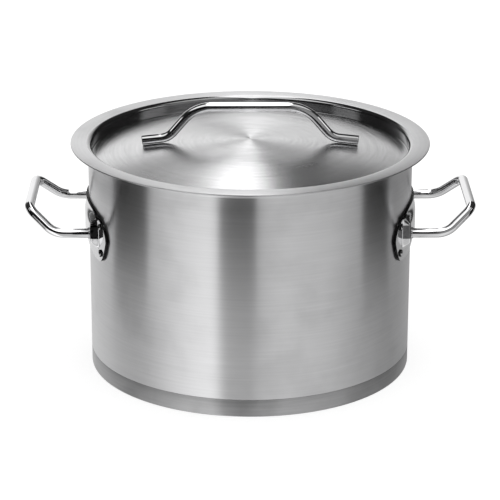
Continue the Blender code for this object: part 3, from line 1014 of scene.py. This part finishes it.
floor_mesh.materials.append(matt_paper("floor_paper", 0.36, glow=0.72))
studio_floor.visible_glossy = False
print(f"floor {2.0 * FLOOR_HALF:.0f} m square")

# %% [markdown]
# ## The tent
#
# A few small helpers describe it, such as a ring of brightness by heading and a soft step by rise.
# Heading is 0 in front of the pot and grows toward the right, to 180 degrees behind it. Rise is the
# angle over the horizon.

# %% Helpers for the tent
world = bpy.data.worlds.new("studio")
bpy.context.scene.world = world
world.use_nodes = True
sky = world.node_tree
sky.nodes.clear()


def sky_maths(operation, *values):
    return maths(sky, operation, *values)


def distance(value, place):
    return sky_maths("ABSOLUTE", sky_maths("SUBTRACT", value, place))


def fall(value, start, end, before, after):
    """From one brightness to another in a soft step."""
    return remap(sky, value, start, end, before, after, smooth=True)


def above(start_deg, end_deg):
    """0 for rays below the first rise, 1 above the second."""
    return fall(rise, math.radians(start_deg), math.radians(end_deg), 0.0, 1.0)


def blend(share, low, high):
    node = add_node(sky, "ShaderNodeMix", {"Factor": share, "A": low, "B": high}, data_type="FLOAT")
    return node.outputs["Result"]


def ring_of_light(stops):
    """Brightness by heading. Each stop is (degrees from the front, brightness)."""
    ramp = add_node(sky, "ShaderNodeFloatCurve")
    curve = ramp.mapping.curves[0]
    top = max(value for _, value in stops)
    while len(curve.points) < len(stops):
        curve.points.new(0.5, 0.5)
    for point, (degrees, value) in zip(curve.points, stops):
        point.location = (degrees / 360.0 + 0.5, value / top)
        point.handle_type = "VECTOR"
    ramp.mapping.update()
    sky.links.new(remap(sky, heading, -math.pi, math.pi, 0.0, 1.0), ramp.inputs["Value"])
    return sky_maths("MULTIPLY", ramp.outputs["Value"], top)


ray = add_node(sky, "ShaderNodeTexCoord").outputs["Generated"]
east, north, up = add_node(sky, "ShaderNodeSeparateXYZ", {0: ray}).outputs
heading = sky_maths("ARCTAN2", east, sky_maths("MULTIPLY", north, -1.0))
rise = sky_maths("ARCSINE", up)
behind = fall(north, -0.1, 0.1, 0.0, 1.0)
print("every ray has a heading and a rise")

# %% [markdown]
# Two rings come first. The lower one stands for the floor, with a bright pool on each side of the
# front. The upper one is the room at eye height: dark in front and at the sides, pale a little to the
# right of the front, and white behind.

# %% Floor and horizon
floor_ring = ring_of_light([
    (-180, 0.6), (-176, 0.7), (-170, 0.85), (-150, 0.85), (-124, 0.8), (-110, 0.66), (-90, 0.66),
    (-76, 0.85), (-60, 1.2), (-44, 1.45), (-27, 1.62), (-20, 0.68), (0, 0.66), (7, 0.84), (24, 1.0),
    (60, 0.86), (84, 0.64), (104, 0.52), (116, 0.44), (134, 0.42), (160, 0.5), (170, 0.5),
    (175, 0.24), (179, 0.24), (180, 0.6),
])
horizon_ring = ring_of_light([
    (-180, 1.15), (-160, 1.15), (-148, 0.12), (-116, 0.01), (3, 0.01), (12, 0.32), (60, 0.28),
    (76, 0.01), (154, 0.02), (163, 0.5), (175, 0.9), (180, 1.15),
])
low_part = blend(above(-12.0, -4.0), floor_ring, horizon_ring)
print("rings: floor and horizon")

# %% [markdown]
# Overhead hangs a soft box that runs from front to back, a little left of the middle, and widens toward
# the top. It draws the bright fan across the lid. High up in front hangs a second box, wider, brighter
# on its left and with a notch in the middle of its lower edge. A dimmer glow lies left of the middle,
# and the rest of the ceiling is nearly dark. Two short strips at the sides light what faces sideways.

# %% Soft boxes overhead and strips at the sides
BOX_ASIDE = -0.022
BOX_NARROW, BOX_WIDE = 0.045, 0.17
BOX_LIGHT = 2.4
GLOW_ASIDE = -0.10
GLOW_LIGHT, ROOM_LIGHT = 0.7, 0.03
STRIP_HEADING = math.radians(80.0)
STRIP_RISE = math.radians(25.0)
STRIP_LIGHT = 1.4
half_width = remap(sky, rise, math.radians(45.0), math.radians(72.0), BOX_NARROW, BOX_WIDE)
past_edge = sky_maths("SUBTRACT", distance(east, BOX_ASIDE), half_width)
long_box = fall(past_edge, -0.02, 0.04, BOX_LIGHT, 0.0)
off_middle = fall(sky_maths("ABSOLUTE", east), 0.03, 0.06, 0.0, 1.0)
front_box = blend(off_middle, above(66.0, 72.0), above(42.0, 48.0))
front_box = sky_maths("MULTIPLY", front_box, sky_maths("SUBTRACT", 1.0, behind))
front_box = sky_maths("MULTIPLY", front_box, remap(sky, east, -0.02, 0.06, 1.25, 0.8))
left_glow = fall(distance(east, GLOW_ASIDE), 0.03, 0.09, GLOW_LIGHT, ROOM_LIGHT)
high_part = sky_maths("MAXIMUM", sky_maths("MAXIMUM", long_box, front_box), left_glow)

aside = distance(sky_maths("ABSOLUTE", heading), STRIP_HEADING)
strip = fall(aside, math.radians(9.0), math.radians(15.0), STRIP_LIGHT, 0.0)
strip_ends = fall(distance(rise, STRIP_RISE), math.radians(3.0), math.radians(5.0), 1.0, 0.0)
strips = sky_maths("MULTIPLY", strip, strip_ends)

wall_top = blend(behind, above(36.0, 42.0), above(20.0, 30.0))
tent = sky_maths("MAXIMUM", blend(wall_top, low_part, high_part), strips)
print("tent:", len(sky.nodes), "nodes")

# %% [markdown]
# The world gives plain daylight to matt things and the tent to metal.

# %% Daylight or tent
DAYLIGHT = 1.15
WHITE = (1.0, 1.0, 1.0, 1.0)
plain_day, tent_light = (
    add_node(sky, "ShaderNodeBackground", {"Color": WHITE, "Strength": light}).outputs[0]
    for light in (DAYLIGHT, tent)
)
is_glossy = add_node(sky, "ShaderNodeLightPath").outputs["Is Glossy Ray"]
choice = add_node(sky, "ShaderNodeMixShader", {"Fac": is_glossy, 1: plain_day, 2: tent_light})
add_node(sky, "ShaderNodeOutputWorld", {"Surface": choice.outputs[0]})
print("world:", len(sky.nodes), "nodes")

# %% [markdown]
# ## Dark cards
#
# A tent that is the same from everywhere would give the wall bands of even tone from top to bottom. In
# a studio, black cards stand close to the pot, and the top of the wall sees more of them than the foot
# does. Three cards on stands do that here: one in front, a little to the left, and one on each side.
# Only glossy rays see them, so they throw no shadow.

# %% Black cards
card_black = matt_paper("card_black", 0.004)


def black_card(name, start, end, height):
    """An upright card between two points of the floor."""
    mesh = bpy.data.meshes.new(name)
    corners = [(*start, 0.0), (*end, 0.0), (*end, height), (*start, height)]
    mesh.from_pydata(corners, [], [(0, 1, 2, 3)])
    mesh.materials.append(card_black)
    card = bpy.data.objects.new(name, mesh)
    bpy.context.scene.collection.objects.link(card)
    card.visible_camera = False
    card.visible_diffuse = False
    card.visible_shadow = False


black_card("card_front", (-0.150, -0.44), (0.024, -0.44), 0.46)
black_card("card_left", (-0.378, -0.178), (-0.377, 0.03), 0.24)
black_card("card_right", (0.40, -0.13), (0.40, 0.05), 0.24)
print("cards: front, left and right")

# %% [markdown]
# ## The camera
#
# A long lens from about two metres keeps the pot's sides nearly parallel, as catalogue pictures do.
# It looks down at the pot by 19.5 degrees, enough to show the whole floor of the lid.

# %% Camera
CAMERA_BACK = 1.947
CAMERA_HEIGHT = 0.789
LOOK_DOWN_DEG = 19.52
CAMERA_TURN_DEG = -0.5
CAMERA_ROLL_DEG = 0.12
camera_data = bpy.data.cameras.new("catalogue_camera")
camera_data.sensor_width = 36.0
camera_data.lens = 169.4
camera = bpy.data.objects.new("catalogue_camera", camera_data)
bpy.context.scene.collection.objects.link(camera)
camera.matrix_world = (
    Matrix.Rotation(math.radians(CAMERA_TURN_DEG), 4, "Z")
    @ Matrix.Translation((0.0, -CAMERA_BACK, CAMERA_HEIGHT))
    @ Matrix.Rotation(math.radians(90.0 - LOOK_DOWN_DEG), 4, "X")
    @ Matrix.Rotation(math.radians(CAMERA_ROLL_DEG), 4, "Z")
)
bpy.context.scene.camera = camera
bpy.context.scene.view_settings.view_transform = "Standard"
print(f"lens {camera_data.lens:.0f} mm")
